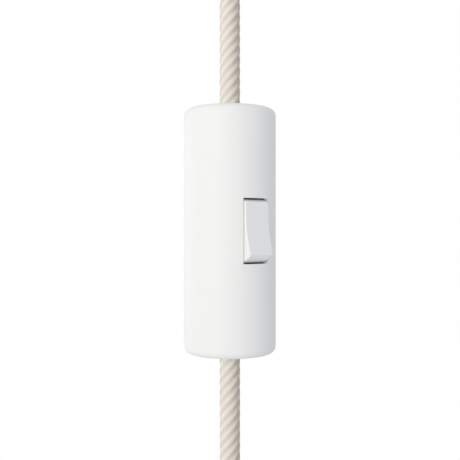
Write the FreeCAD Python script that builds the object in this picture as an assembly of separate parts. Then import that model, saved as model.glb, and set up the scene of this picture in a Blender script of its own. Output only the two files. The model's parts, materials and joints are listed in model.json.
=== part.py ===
import FreeCAD, Part
import math
import os

# Inline cord switch: a smooth round sleeve with a rocker in its side, closed by two caps,
# on a taut textile lead that ends in a threaded cord grip above and below.
# Millimetres, +Z up, and the rocker faces -Y. Every piece is drawn about the middle of the
# sleeve. place() then moves it so that the origin is the foot of the upper nipple, which
# carries the object. Depths named here are distances from the sleeve's axis towards -Y.

# Sleeve. Its length is the sum of what it holds from the rocker to a cap, twice over
sleeve_diameter = 32.0
sleeve_end_radius = 2.5
sleeve_wall = 1.9

# Opening for the rocker: square corners on its -X side, rounded ones on its +X side
opening_width = 10.25
opening_height = 21.9
opening_corner = 1.2

# End caps, set flush in a rebate at each end of the sleeve
cap_thickness = 2.6
cap_rebate = 0.4
cap_gap = 0.05
cap_bore_edge = 0.6
cap_boss_room = 6.25
cap_screw_angle = 20.0
cap_screw_from_wall = 2.2
cap_screw_length = 7.0

# Lead
cord_diameter = 7.2
cord_bore_gap = 0.15
cord_free_length = 42.5
cord_past_clamp = 1.5
core_bend_run = 8.0
core_bow_run = 7.0
core_to_deck = 2.6
core_diameter = 2.3
core_circle_radius = 1.5
conductor_diameter = 1.5

# Cord grips at the two ends of the lead
grip_diameter = 13.0
grip_length = 16.0
grip_edge = 1.0
nipple_diameter = 10.0
nipple_length = 8.0
nipple_chamfer = 0.6
grip_screw_diameter = 4.0
grip_screw_sunk = 0.3
cord_end_sunk = 1.0
grip_screw_tip_gap = 0.02
tail_insulation = 6.0
ferrule_diameter = 1.7
ferrule_length = 5.0

# Rocker
rocker_side_gap = 0.24
rocker_end_gap = 0.32
rocker_pivot_sunk = 5.0
rocker_face_height = 5.35
rocker_face_slope = 7.0
rocker_valley_half = 3.0
rocker_wall = 1.25
rocker_skirt = 0.6
rocker_edge = 0.4
rocker_square_corner = 0.65
rocker_round_corner = 1.0
rocker_tilt = 8.0
rocker_rib = 0.9

# Pivot lugs that the rocker snaps over
pin_radius = 0.95
pin_gap = 0.05
lug_half_width = 1.6
lug_to_stem = 0.35
lug_to_rocker_wall = 0.17
boss_wall = 1.3
pin_short_of_face = 0.25

# Spring plunger in the rocker's stem
stem_radius = 1.9
stem_reach = 2.2
plunger_radius = 1.3
plunger_gap = 0.05
plunger_guided = 2.6
plunger_spigot_radius = 0.5
plunger_spigot_length = 1.2
spring_wire = 0.3
spring_side_gap = 0.1
spring_turns = 5
spring_height = 3.2

# Rocking contact bridge
bridge_below_pivot = 4.8
bridge_above_deck = 2.2
bridge_width = 3.8
bridge_length = 12.4
bridge_thickness = 0.5
bridge_hump_radius = 1.1
bridge_tilt = 8.0
nose_radius = 0.6
nose_gap = 0.05
nose_web = 0.9
contact_offset = 5.0
contact_radius = 1.1
contact_height = 0.5
contact_closed_gap = 0.06
contact_dome = 2.6

# Carrier tray
tray_side_gap = 0.2
tray_end_gap = 0.1
tray_wall = 1.5
tray_end_wall = 2.0
tray_boss_radius = 2.3
tray_boss_below_screw = 1.0
saddle_floor = 3.0

# Contact deck on the rim of the tray
deck_thickness = 2.0
deck_past_terminal = 1.5
deck_screw_from_end = 3.5
deck_screw_from_wall = 2.7
deck_nest_wall = 1.2
deck_nest_height = 2.6
deck_nest_gap = 0.1

# Screw terminals
strip_width = 3.8
strip_thickness = 0.6
strip_under_block = 0.5
terminal_width = 5.2
terminal_length = 6.0
terminal_height = 5.6
terminal_past_opening = 2.05
terminal_bore_radius = 1.2
terminal_wire_height = 2.9
terminal_end_wall = 1.5
terminal_bore_room = 0.5
terminal_screw_tip_gap = 0.02
terminal_edge = 0.3

# Cord clamps
clamp_width = 5.0
clamp_thickness = 1.8
clamp_screw_wall = 1.1
clamp_past_screw = 0.2
clamp_bar_dips = 1.6
clamp_squeeze_gap = 0.03

# Screws: shank radius, head radius, head height
cap_screw_size = (1.2, 2.2, 1.4)
deck_screw_size = (1.2, 2.2, 1.3)
clamp_screw_size = (1.4, 2.4, 1.5)
terminal_screw_size = (1.2, 2.0, 1.3)
screw_hole_gap = 0.05
screw_clearance = 0.2
screw_slot_width = 0.6
screw_slot_depth = 0.7
screw_hole_room = 0.2
deck_screw_reach = 8.0
clamp_screw_reach = 9.0

# How far a cutter runs past the face it opens, and a fused piece into its neighbour
overcut = 1.0
root = 0.01

# Worked out from the sizes above
sleeve_radius = sleeve_diameter / 2
sleeve_bore = sleeve_radius - sleeve_wall
rocker_pivot_depth = sleeve_radius - rocker_pivot_sunk
bridge_depth = rocker_pivot_depth - bridge_below_pivot
deck_depth = bridge_depth - bridge_above_deck
tray_rim_depth = deck_depth - deck_thickness
strip_depth = deck_depth + strip_thickness
wire_depth = deck_depth + terminal_wire_height
terminal_near = opening_height / 2 + terminal_past_opening
terminal_far = terminal_near + terminal_length
terminal_offset = (terminal_near + terminal_far) / 2
terminal_wire_depth = terminal_length - terminal_end_wall - terminal_bore_room
cord_stripped_at = terminal_far + core_bend_run
clamp_near = cord_stripped_at + cord_past_clamp
clamp_far = clamp_near + clamp_width
clamp_centre = (clamp_near + clamp_far) / 2
sleeve_half = clamp_far + cap_boss_room + cap_thickness
sleeve_length = 2 * sleeve_half
cap_seat_z = sleeve_half - cap_thickness
cap_radius = sleeve_bore + cap_rebate - cap_gap
cord_radius = cord_diameter / 2
cord_bore_radius = cord_radius + cord_bore_gap
grip_start_z = sleeve_half + cord_free_length
nipple_start_z = grip_start_z + grip_length
nipple_end_z = nipple_start_z + nipple_length
rocker_half_width = opening_width / 2 - rocker_side_gap
bore_edge_depth = math.sqrt(sleeve_bore ** 2 - rocker_half_width ** 2)
rocker_end_radius = math.hypot(
    opening_height / 2 - rocker_end_gap, bore_edge_depth - rocker_pivot_depth
)
stem_bore_radius = plunger_radius + plunger_gap
lug_inner = stem_radius + lug_to_stem
lug_outer = rocker_half_width - rocker_wall - lug_to_rocker_wall
tray_radius = sleeve_bore - tray_side_gap
tray_inner = tray_radius - tray_wall
tray_half = cap_seat_z - tray_end_gap
tray_rim_half = math.sqrt(tray_inner ** 2 - tray_rim_depth ** 2)
cap_screw_circle = tray_inner - cap_screw_from_wall
deck_half = terminal_far + deck_past_terminal
deck_screw_offset_x = tray_rim_half - deck_screw_from_wall
deck_screw_offset_z = deck_half - deck_screw_from_end
clamp_screw_offset = cord_radius + clamp_screw_wall + clamp_screw_size[0] + screw_clearance
clamp_half_span = clamp_screw_offset + clamp_screw_size[1] + clamp_past_screw
clamp_bed_depth = cord_radius - clamp_bar_dips
core_lane = core_to_deck + core_diameter / 2 - tray_rim_depth
spring_seat = plunger_guided - stem_reach
core_angles = {"live": -90.0, "neutral": 30.0, "earth": 150.0}

ORIGIN = FreeCAD.Vector(0, 0, 0)
X = FreeCAD.Vector(1, 0, 0)
Y = FreeCAD.Vector(0, 1, 0)
Z = FreeCAD.Vector(0, 0, 1)
PIVOT = FreeCAD.Vector(0, -rocker_pivot_depth, 0)
BRIDGE_AXIS = FreeCAD.Vector(0, -bridge_depth, 0)


# Drawing helpers

def vec(x, y, z):
    return FreeCAD.Vector(x, y, z)


def rod(radius, start, end):
    """A round bar from one point to another."""
    run = end - start
    return Part.makeCylinder(radius, run.Length, start, run)


def slab(x_range, y_range, z_range):
    """A rectangular block between three pairs of limits."""
    (x0, x1), (y0, y1), (z0, z1) = x_range, y_range, z_range
    return Part.makeBox(x1 - x0, y1 - y0, z1 - z0, vec(x0, y0, z0))


def both_ways(half):
    return (-half, half)


def on_side(side, near, far):
    """The limits from near to far on one side of the middle plane."""
    return (min(side * near, side * far), max(side * near, side * far))


def join(*pieces):
    whole = pieces[0]
    for piece in pieces[1:]:
        whole = whole.fuse(piece)
    return whole.removeSplitter()


def drill(piece, *tools):
    for tool in tools:
        piece = piece.cut(tool)
    return piece


def turned(piece, axis_point, degrees):
    """A copy turned about the line through axis_point along +X."""
    copy = piece.copy()
    copy.rotate(axis_point, X, degrees)
    return copy


def upside_down(piece):
    """A copy reflected in the middle plane of the sleeve."""
    return piece.mirror(ORIGIN, Z)


def edges_where(piece, test):
    return [edge for edge in piece.Edges if test(edge)]


def is_circle(edge, radius, tolerance=1e-4):
    curve = edge.Curve
    return isinstance(curve, Part.Circle) and abs(curve.Radius - radius) < tolerance


def screw(size, seat, tip_reach, inward):
    """A slotted cheese-head screw: seat is under its head, inward points to its tip."""
    shank_radius, head_radius, head_height = size
    head = rod(head_radius, seat, seat - inward * head_height)
    top_edge = [e for e in head.Edges if is_circle(e, head_radius)
                and (e.Curve.Center - seat).Length > head_height / 2]
    head = head.makeChamfer(head_height / 5, top_edge)
    shank = rod(shank_radius, seat, seat + inward * tip_reach)
    slot = slab(
        both_ways(head_radius + overcut), both_ways(screw_slot_width / 2), both_ways(screw_slot_depth)
    )
    slot.Placement = FreeCAD.Placement(
        seat - inward * head_height, FreeCAD.Rotation(Z, inward)
    ).multiply(slot.Placement)
    return drill(join(head, shank), slot)


# Housing

def envelope():
    """The outside of the closed housing: a cylinder with rounded ends."""
    body = rod(sleeve_radius, vec(0, 0, -sleeve_half), vec(0, 0, sleeve_half))
    rims = edges_where(body, lambda e: is_circle(e, sleeve_radius))
    return body.makeFillet(sleeve_end_radius, rims)


def rocker_opening():
    """The window that the rocker moves in, as the block that cuts it."""
    block = slab(
        both_ways(opening_width / 2),
        (-sleeve_radius - overcut, -sleeve_bore / 2),
        both_ways(opening_height / 2),
    )
    rounded = edges_where(
        block,
        lambda e: e.BoundBox.YLength > sleeve_wall and e.BoundBox.XMin > 0,
    )
    return block.makeFillet(opening_corner, rounded)


def sleeve():
    bore = rod(sleeve_bore, vec(0, 0, -sleeve_length), vec(0, 0, sleeve_length))
    rebate = rod(sleeve_bore + cap_rebate, vec(0, 0, cap_seat_z), vec(0, 0, sleeve_length))
    return drill(envelope(), bore, rebate, upside_down(rebate), rocker_opening())


def cap_screw_points():
    angle = math.radians(cap_screw_angle)
    across = cap_screw_circle * math.cos(angle)
    return [vec(side * across, cap_screw_circle * math.sin(angle), 0) for side in (-1, 1)]


def upper_end_cap():
    outside = vec(0, 0, sleeve_half + overcut)
    cap = envelope().common(rod(cap_radius, vec(0, 0, cap_seat_z), outside))
    cap = drill(cap, rod(cord_bore_radius, ORIGIN, outside))
    mouth = edges_where(
        cap,
        lambda e: is_circle(e, cord_bore_radius) and e.BoundBox.ZMin > cap_seat_z + root,
    )
    cap = cap.makeFillet(cap_bore_edge, mouth)
    shank_radius, head_radius, head_height = cap_screw_size
    for point in cap_screw_points():
        top = point + Z * sleeve_half
        seat = top - Z * head_height
        cap = drill(
            cap,
            rod(shank_radius + screw_clearance, seat - Z * cap_thickness, top),
            rod(head_radius + screw_hole_gap, seat, top + Z * overcut),
        )
    return cap


def cap_screws():
    head_height = cap_screw_size[2]
    upper = [
        screw(cap_screw_size, point + Z * (sleeve_half - head_height),
              cap_screw_length - head_height, -Z)
        for point in cap_screw_points()
    ]
    return Part.Compound(upper + [upside_down(one) for one in upper])


# Carrier tray

def cord_saddle(inside):
    """The block under a clamp that the cord is pressed into."""
    block = slab(
        both_ways(tray_inner),
        (-clamp_bed_depth, cord_radius + saddle_floor),
        (clamp_near, clamp_far),
    )
    return block.common(inside)


def tray_half_shape():
    """The upper half of the tray: trough, end wall, screw bosses and the cord's saddle."""
    top = vec(0, 0, tray_half)
    trough = drill(rod(tray_radius, ORIGIN, top), rod(tray_inner, ORIGIN - Z, top + Z))
    end_wall = rod(tray_radius, top - Z * tray_end_wall, top)
    half = join(trough, end_wall)
    inside = rod((tray_inner + tray_radius) / 2, ORIGIN, top)
    boss_foot = sleeve_half - cap_screw_length - tray_boss_below_screw
    for point in cap_screw_points():
        boss = rod(tray_boss_radius, point + Z * boss_foot, point + top)
        half = join(half, boss.common(inside))
    for side in (-1, 1):
        post_top = vec(side * deck_screw_offset_x, -tray_rim_depth, deck_screw_offset_z)
        post = rod(tray_boss_radius, post_top, post_top + Y * tray_radius)
        half = join(half, post.common(inside))
    front = slab(
        both_ways(sleeve_radius), (-sleeve_radius, -tray_rim_depth), (-overcut, sleeve_half)
    )
    return join(drill(half, front), cord_saddle(inside))


def carrier_tray():
    half = tray_half_shape()
    tray = join(half, upside_down(half))
    entry = (tray_half - tray_end_wall - overcut, tray_half + overcut)
    groove = rod(cord_bore_radius, Z * entry[0], Z * entry[1])
    notch = slab(both_ways(cord_bore_radius), (-sleeve_radius, 0), entry)
    bed_run = (clamp_near - overcut, clamp_far + overcut)
    bed_radius = cord_radius + clamp_squeeze_gap
    bed = rod(bed_radius, Z * bed_run[0], Z * bed_run[1])
    bed_mouth = slab(both_ways(bed_radius), (-sleeve_radius, 0), bed_run)
    for cutter in (groove, notch, bed, bed_mouth):
        tray = drill(tray, cutter, upside_down(cutter))
    return drill(tray, *cap_screw_holes(), *clamp_screw_holes(), *deck_screw_holes())


def cap_screw_holes():
    radius = cap_screw_size[0] + screw_hole_gap
    foot = sleeve_half - cap_screw_length - screw_hole_room
    upper = [rod(radius, p + Z * foot, p + Z * sleeve_half) for p in cap_screw_points()]
    return upper + [upside_down(one) for one in upper]


def clamp_screw_seats():
    depth = cord_radius + clamp_thickness
    return [vec(side * clamp_screw_offset, -depth, clamp_centre) for side in (-1, 1)]


def clamp_screw_holes():
    radius = clamp_screw_size[0] + screw_hole_gap
    reach = clamp_screw_reach + screw_hole_room
    upper = [rod(radius, seat, seat + Y * reach) for seat in clamp_screw_seats()]
    return upper + [upside_down(one) for one in upper]


def deck_screw_seats():
    return [
        vec(side * deck_screw_offset_x, -deck_depth, side * deck_screw_offset_z)
        for side in (-1, 1)
    ]


def deck_screw_holes():
    radius = deck_screw_size[0] + screw_hole_gap
    reach = deck_screw_reach + screw_hole_room
    return [rod(radius, seat, seat + Y * reach) for seat in deck_screw_seats()]


def deck_screws():
    return Part.Compound(
        [screw(deck_screw_size, seat, deck_screw_reach, Y) for seat in deck_screw_seats()]
    )


# Cord clamps

def upper_cord_clamp():
    bar = slab(
        both_ways(clamp_half_span),
        (-cord_radius - clamp_thickness, -clamp_bed_depth),
        (clamp_near, clamp_far),
    )
    corners = edges_where(
        bar,
        lambda e: e.BoundBox.ZLength > root and e.BoundBox.YMax < -cord_radius,
    )
    bar = bar.makeFillet(clamp_thickness / 2, corners)
    bed = rod(cord_radius + clamp_squeeze_gap, Z * clamp_near, Z * clamp_far)
    radius = clamp_screw_size[0] + screw_clearance
    holes = [rod(radius, seat - Y, seat + Y * sleeve_radius) for seat in clamp_screw_seats()]
    return drill(bar, bed, *holes)


def clamp_screws():
    upper = [
        screw(clamp_screw_size, seat, clamp_screw_reach, Y) for seat in clamp_screw_seats()
    ]
    return Part.Compound(upper + [upside_down(one) for one in upper])


# Contact deck

def pivot_lug(side):
    """One springy lug with its pin, which the rocker snaps over."""
    post = slab(
        on_side(side, lug_inner, lug_outer),
        (-rocker_pivot_depth, -deck_depth + root),
        both_ways(lug_half_width),
    )
    inner = PIVOT + X * side * lug_inner
    crown = rod(lug_half_width, inner, PIVOT + X * side * lug_outer)
    pin = rod(pin_radius, inner, PIVOT + X * side * (rocker_half_width - pin_short_of_face))
    return join(post, crown, pin)


def terminal_nest():
    """Two low walls that keep a screw terminal in line."""
    inner = terminal_width / 2 + deck_nest_gap
    walls = [
        slab(
            on_side(side, inner, inner + deck_nest_wall),
            (-deck_depth - deck_nest_height, -deck_depth + root),
            (terminal_near, terminal_far),
        )
        for side in (-1, 1)
    ]
    return join(*walls)


def contact_deck():
    plate = slab(both_ways(sleeve_radius), (-deck_depth, -tray_rim_depth), both_ways(deck_half))
    plate = plate.common(rod(tray_radius, -Z * sleeve_half, Z * sleeve_half))
    nest = terminal_nest()
    deck = join(plate, pivot_lug(-1), pivot_lug(1), nest, upside_down(nest))
    radius = deck_screw_size[0] + screw_clearance
    holes = [rod(radius, seat - Y, seat + Y * 2 * deck_thickness) for seat in deck_screw_seats()]
    return drill(deck, *holes)


# Terminals and contacts

def terminal_block():
    """A brass screw terminal, with the hole for the wire and the tapped hole for its screw."""
    front_depth = deck_depth + terminal_height
    block = slab(
        both_ways(terminal_width / 2), (-front_depth, -deck_depth), (terminal_near, terminal_far)
    )
    front = edges_where(block, lambda e: e.BoundBox.YMax < -front_depth + root)
    block = block.makeFillet(terminal_edge, front)
    wire_end = vec(0, -wire_depth, terminal_near + terminal_end_wall)
    wire_hole = rod(terminal_bore_radius, wire_end, vec(0, -wire_depth, terminal_far + overcut))
    screw_radius = terminal_screw_size[0] + screw_hole_gap
    screw_top = vec(0, -front_depth - overcut, terminal_offset)
    screw_hole = rod(screw_radius, screw_top, vec(0, -wire_depth, terminal_offset))
    return drill(block, wire_hole, screw_hole)


def terminal_screws():
    seat = vec(0, -deck_depth - terminal_height, terminal_offset)
    wire_top = terminal_wire_height + conductor_diameter / 2
    tip_reach = terminal_height - wire_top - terminal_screw_tip_gap
    one = screw(terminal_screw_size, seat, tip_reach, Y)
    return Part.Compound([one, upside_down(one)])


def contact_button(base, towards, height):
    """A riveted contact with a gently domed face."""
    disc = rod(contact_radius, base, base + towards * height)
    dome = Part.makeSphere(contact_dome, base + towards * (height - contact_dome))
    return disc.common(dome)


def closed_contact_depth():
    """Depth of the moving contact's face once the bridge has closed it."""
    angle = math.radians(bridge_tilt)
    sunk = contact_offset * math.sin(angle) + contact_height * math.cos(angle)
    return bridge_depth - sunk


def line_terminal():
    strip = slab(
        both_ways(strip_width / 2), (-strip_depth, -deck_depth),
        (contact_offset - strip_width / 2, terminal_near + strip_under_block),
    )
    return join(terminal_block(), strip)


def fixed_contact():
    face_depth = closed_contact_depth() - contact_closed_gap
    return contact_button(vec(0, -strip_depth, contact_offset), -Y, face_depth - strip_depth)


def centre_terminal():
    across = X * (strip_width / 2)
    strip = slab(
        both_ways(strip_width / 2),
        (-strip_depth, -deck_depth),
        (-terminal_near - strip_under_block, nose_radius + strip_thickness),
    )
    web = slab(
        both_ways(strip_width / 2), (-bridge_depth, -strip_depth + root), both_ways(nose_web / 2)
    )
    nose = rod(nose_radius, BRIDGE_AXIS - across, BRIDGE_AXIS + across)
    return join(upside_down(terminal_block()), strip, web, nose)


def contact_bridge():
    """The strip that rocks on the nose of the centre terminal."""
    across = X * (bridge_width / 2)
    strip = slab(
        both_ways(bridge_width / 2),
        (-bridge_depth - bridge_thickness, -bridge_depth),
        both_ways(bridge_length / 2),
    )
    hump = rod(bridge_hump_radius, BRIDGE_AXIS - across, BRIDGE_AXIS + across)
    below = slab(both_ways(bridge_width), (-bridge_depth, 0), both_ways(bridge_length))
    groove = rod(nose_radius + nose_gap, BRIDGE_AXIS - across * 2, BRIDGE_AXIS + across * 2)
    return turned(drill(join(strip, hump), below, groove), BRIDGE_AXIS, bridge_tilt)


def moving_contact():
    button = contact_button(vec(0, -bridge_depth, contact_offset), Y, contact_height)
    return turned(button, BRIDGE_AXIS, bridge_tilt)


# Rocker with its plunger and spring, drawn level and then tilted to the rest position

def rocker_profile(end_radius, face_height, skirt):
    """Side outline about the pivot: two sloping face halves that meet in a soft valley,
    two arcs about the pivot and a flat skirt."""
    slope = math.radians(rocker_face_slope)
    climb = math.tan(slope)
    valley_edge = face_height + rocker_valley_half * math.tan(slope / 2)
    middle_height = valley_edge - rocker_valley_half * climb
    spread = 1 + climb ** 2
    reach = math.sqrt(spread * end_radius ** 2 - middle_height ** 2)
    face_end_z = (reach - climb * middle_height) / spread
    top_angle = math.atan2(middle_height + climb * face_end_z, face_end_z)
    foot_angle = math.asin(-skirt / end_radius)

    def at(z, height):
        return PIVOT + vec(0, -height, z)

    def on_end(sign, angle):
        return at(sign * end_radius * math.cos(angle), end_radius * math.sin(angle))

    def end_arc(sign):
        middle = (top_angle + foot_angle) / 2
        return Part.Arc(
            on_end(sign, top_angle), on_end(sign, middle), on_end(sign, foot_angle)
        ).toShape()

    def line(start, end):
        return Part.LineSegment(start, end).toShape()

    low = at(-rocker_valley_half, valley_edge)
    high = at(rocker_valley_half, valley_edge)
    valley = Part.Arc(low, at(0, face_height), high).toShape()
    face = [line(on_end(-1, top_angle), low), valley, line(high, on_end(1, top_angle))]
    foot = line(on_end(1, foot_angle), on_end(-1, foot_angle))
    return Part.Face(Part.Wire(face + [end_arc(1), foot, end_arc(-1)]))


def rocker_block(half_width, end_radius, face_height, skirt):
    profile = rocker_profile(end_radius, face_height, skirt)
    profile.translate(X * -half_width)
    return profile.extrude(X * 2 * half_width)


def rounded_rocker_block():
    block = rocker_block(rocker_half_width, rocker_end_radius, rocker_face_height, rocker_skirt)
    for side, radius in ((-1, rocker_square_corner), (1, rocker_round_corner)):
        corners = edges_where(
            block,
            lambda e: is_circle(e, rocker_end_radius)
            and abs(e.BoundBox.Center.x - side * rocker_half_width) < root,
        )
        block = block.makeFillet(radius, corners)
    rim_depth = rocker_pivot_depth + rocker_face_height - root
    rim = edges_where(
        block,
        lambda e: e.BoundBox.YMax < -rim_depth
        and (e.BoundBox.XLength < root or abs(e.BoundBox.Center.z) > rocker_valley_half + root),
    )
    return block.makeFillet(rocker_edge, rim)


def rocker():
    body = rounded_rocker_block()
    inner_half = rocker_half_width - rocker_wall
    hollow = rocker_block(
        inner_half, rocker_end_radius - rocker_wall, rocker_face_height - rocker_wall,
        rocker_skirt + overcut,
    )
    body = drill(body, hollow)
    boss_radius = pin_radius + pin_gap + boss_wall
    for side in (-1, 1):
        near = PIVOT + X * side * inner_half
        far = PIVOT + X * side * rocker_half_width
        body = join(body, rod(boss_radius, near, far))
    half_wall = rocker_wall / 2
    rib = rocker_block(
        rocker_rib / 2, rocker_end_radius - half_wall, rocker_face_height - half_wall,
        -rocker_face_height / 2,
    )
    stem = rod(
        stem_radius, PIVOT + Y * stem_reach, PIVOT - Y * (rocker_face_height - half_wall)
    )
    body = join(body, rib, stem)
    bore_top = spring_seat + spring_height
    stem_bore = rod(stem_bore_radius, PIVOT + Y * (stem_reach + overcut), PIVOT - Y * bore_top)
    pin_bores = [
        rod(pin_radius + pin_gap, PIVOT + X * side * lug_inner, PIVOT + X * side * sleeve_radius)
        for side in (-1, 1)
    ]
    return turned(drill(body, stem_bore, *pin_bores), PIVOT, -rocker_tilt)


def plunger():
    tip_centre = PIVOT + Y * stem_reach
    shoulder = PIVOT - Y * spring_seat
    body = rod(plunger_radius, tip_centre, shoulder)
    spigot = rod(plunger_spigot_radius, shoulder, shoulder - Y * plunger_spigot_length)
    tip = Part.makeSphere(plunger_radius, tip_centre)
    return turned(join(body, tip, spigot), PIVOT, -rocker_tilt)


def plunger_spring():
    coil_radius = plunger_radius - spring_side_gap - spring_wire / 2
    height = spring_height - spring_wire
    helix = Part.makeHelix(height / spring_turns, height, coil_radius)
    start = vec(coil_radius, 0, 0)
    corner_angles = [math.radians(60 * corner) for corner in range(7)]
    section = Part.makePolygon([
        start + vec(math.cos(angle), 0, math.sin(angle)) * (spring_wire / 2)
        for angle in corner_angles
    ])
    coil = Part.Wire(helix).makePipeShell([section], True, True)
    coil.rotate(ORIGIN, X, 90)
    coil.translate(PIVOT - Y * (spring_seat + spring_wire / 2))
    return turned(coil, PIVOT, -rocker_tilt)


# Lead

def cord_end_z():
    return nipple_end_z - cord_end_sunk


def upper_cord():
    return rod(cord_radius, vec(0, 0, cord_stripped_at), vec(0, 0, cord_end_z()))


def core_point(name, z):
    angle = math.radians(core_angles[name])
    return vec(core_circle_radius * math.cos(angle), core_circle_radius * math.sin(angle), z)


def double_bend(start, end):
    """Two equal arcs that lead from one run along Z to another beside it."""
    sideways = vec(end.x - start.x, end.y - start.y, 0)
    along = end.z - start.z
    turn = 2 * math.atan2(sideways.Length, abs(along))
    bend = abs(along) / (2 * math.sin(turn))
    side = sideways.normalize()
    middle = (start + end) * 0.5
    forward = Z * math.copysign(1, along)

    def arc(corner, towards, first, last):
        centre = corner + towards * bend
        bow = (first + last) * 0.5 - centre
        return Part.Arc(first, centre + bow.normalize() * bend, last).toShape()

    return [arc(start, side, start, middle), arc(end, side * -1, middle, end)], forward


def insulated(edges, start, forward):
    ring = Part.Wire(Part.makeCircle(core_diameter / 2, start, forward))
    return Part.Wire(edges).makePipeShell([ring], True, True)


def through_core(name):
    """A core that runs uncut from one cord to the other, bowed back behind the deck."""
    start = core_point(name, cord_stripped_at)
    lane_top = vec(start.x, core_lane, cord_stripped_at - core_bow_run)
    into_lane, forward = double_bend(start, lane_top)
    lane_foot = vec(lane_top.x, lane_top.y, -lane_top.z)
    lane = Part.LineSegment(lane_top, lane_foot).toShape()
    out_of_lane, _ = double_bend(lane_foot, vec(start.x, start.y, -start.z))
    return insulated(into_lane + [lane] + out_of_lane, start, forward)


def live_core_in():
    """The cut core: an easy double bend from the cord into its terminal, then bare wire."""
    start = core_point("live", cord_stripped_at)
    end = vec(0, -wire_depth, terminal_far)
    edges, forward = double_bend(start, end)
    insulation = insulated(edges, start, forward)
    wire = rod(conductor_diameter / 2, end + Z, end - Z * terminal_wire_depth)
    return join(insulation, wire)


# Cord grips

def upper_cord_grip():
    """A turned bush that the cord passes into, with a male thread to hang it by."""
    bush = rod(grip_diameter / 2, Z * grip_start_z, Z * nipple_start_z)
    rims = edges_where(bush, lambda e: is_circle(e, grip_diameter / 2))
    bush = bush.makeFillet(grip_edge, rims)
    nipple = rod(nipple_diameter / 2, Z * (nipple_start_z - overcut), Z * nipple_end_z)
    tip = edges_where(
        nipple,
        lambda e: is_circle(e, nipple_diameter / 2) and e.BoundBox.ZMin > nipple_start_z,
    )
    nipple = nipple.makeChamfer(nipple_chamfer, tip)
    bore = rod(cord_bore_radius, ORIGIN, Z * (nipple_end_z + overcut))
    grip = drill(join(bush, nipple), bore)
    middle = Z * (grip_start_z + grip_length / 2)
    side_hole = rod(grip_screw_diameter / 2 + screw_hole_gap, middle, middle - Y * grip_diameter)
    return drill(grip, side_hole)


def upper_grip_screw():
    """The slotted grub screw that holds the cord in its grip."""
    middle = Z * (grip_start_z + grip_length / 2)
    outer = grip_diameter / 2 - grip_screw_sunk
    tip = cord_radius + grip_screw_tip_gap
    grub = rod(grip_screw_diameter / 2, middle - Y * tip, middle - Y * outer)
    slot = slab(
        both_ways(grip_screw_diameter),
        (-outer - overcut, -outer + screw_slot_depth),
        (middle.z - screw_slot_width / 2, middle.z + screw_slot_width / 2),
    )
    return drill(grub, slot)


def upper_core_tails():
    """The three cores that come out of the nipple, each with a crimped ferrule."""
    tails = []
    for name in core_angles:
        start = core_point(name, cord_end_z())
        bare = start + Z * tail_insulation
        insulation = rod(core_diameter / 2, start, bare)
        ferrule = rod(ferrule_diameter / 2, bare - Z, bare + Z * ferrule_length)
        tails.append(join(insulation, ferrule))
    return Part.Compound(tails)


# Nodes

def nodes():
    clamp = upper_cord_clamp()
    cap = upper_end_cap()
    cord = upper_cord()
    grip = upper_cord_grip()
    grip_screw = upper_grip_screw()
    tails = upper_core_tails()
    live_core = live_core_in()
    return {
        "sleeve": sleeve(),
        "upper_end_cap": cap,
        "lower_end_cap": upside_down(cap),
        "cap_screws": cap_screws(),
        "carrier_tray": carrier_tray(),
        "contact_deck": contact_deck(),
        "deck_screws": deck_screws(),
        "upper_cord_clamp": clamp,
        "lower_cord_clamp": upside_down(clamp),
        "clamp_screws": clamp_screws(),
        "line_terminal": line_terminal(),
        "centre_terminal": centre_terminal(),
        "terminal_screws": terminal_screws(),
        "fixed_contact": fixed_contact(),
        "contact_bridge": contact_bridge(),
        "moving_contact": moving_contact(),
        "rocker": rocker(),
        "plunger": plunger(),
        "plunger_spring": plunger_spring(),
        "upper_cord": cord,
        "lower_cord": upside_down(cord),
        "live_core_in": live_core,
        "live_core_out": upside_down(live_core),
        "neutral_core": through_core("neutral"),
        "earth_core": through_core("earth"),
        "upper_cord_grip": grip,
        "lower_cord_grip": upside_down(grip),
        "upper_grip_screw": grip_screw,
        "lower_grip_screw": upside_down(grip_screw),
        "upper_core_tails": tails,
        "lower_core_tails": upside_down(tails),
    }


def place(piece):
    """Moves a piece from the middle of the sleeve to the frame of the whole object."""
    moved = piece.copy()
    moved.translate(vec(0, 0, -nipple_start_z))
    return moved


def write():
    os.makedirs("parts", exist_ok=True)
    for name, piece in nodes().items():
        shape = place(piece)
        if not shape.isValid():
            raise ValueError(name + " is not a valid solid")
        shape.exportStep("parts/" + name + ".step")
        print(name, len(shape.Solids), "solid(s),", round(shape.Volume, 2), "mm3")


write()
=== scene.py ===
# %% [markdown]
# # An inline cord switch in Blender
# The object is a smooth white cylinder that hangs in a taut, cream, twisted textile lead. One
# rocker sits in a window in its side. The lead enters through a cap at each end and finishes, out
# of the picture, in a threaded cord grip. The engineering solids are already right, so they are
# kept as a fixed frame. This lesson adds what solids can't carry: the light, the twisted cotton,
# the cut threads, a wound spring and the finish of every material.
# A solid's mesh is never edited here. A piece that needs another shape is made new and replaces it.

# %% Load the frame
import bpy
import json
import math
from mathutils import Matrix, Vector


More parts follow.
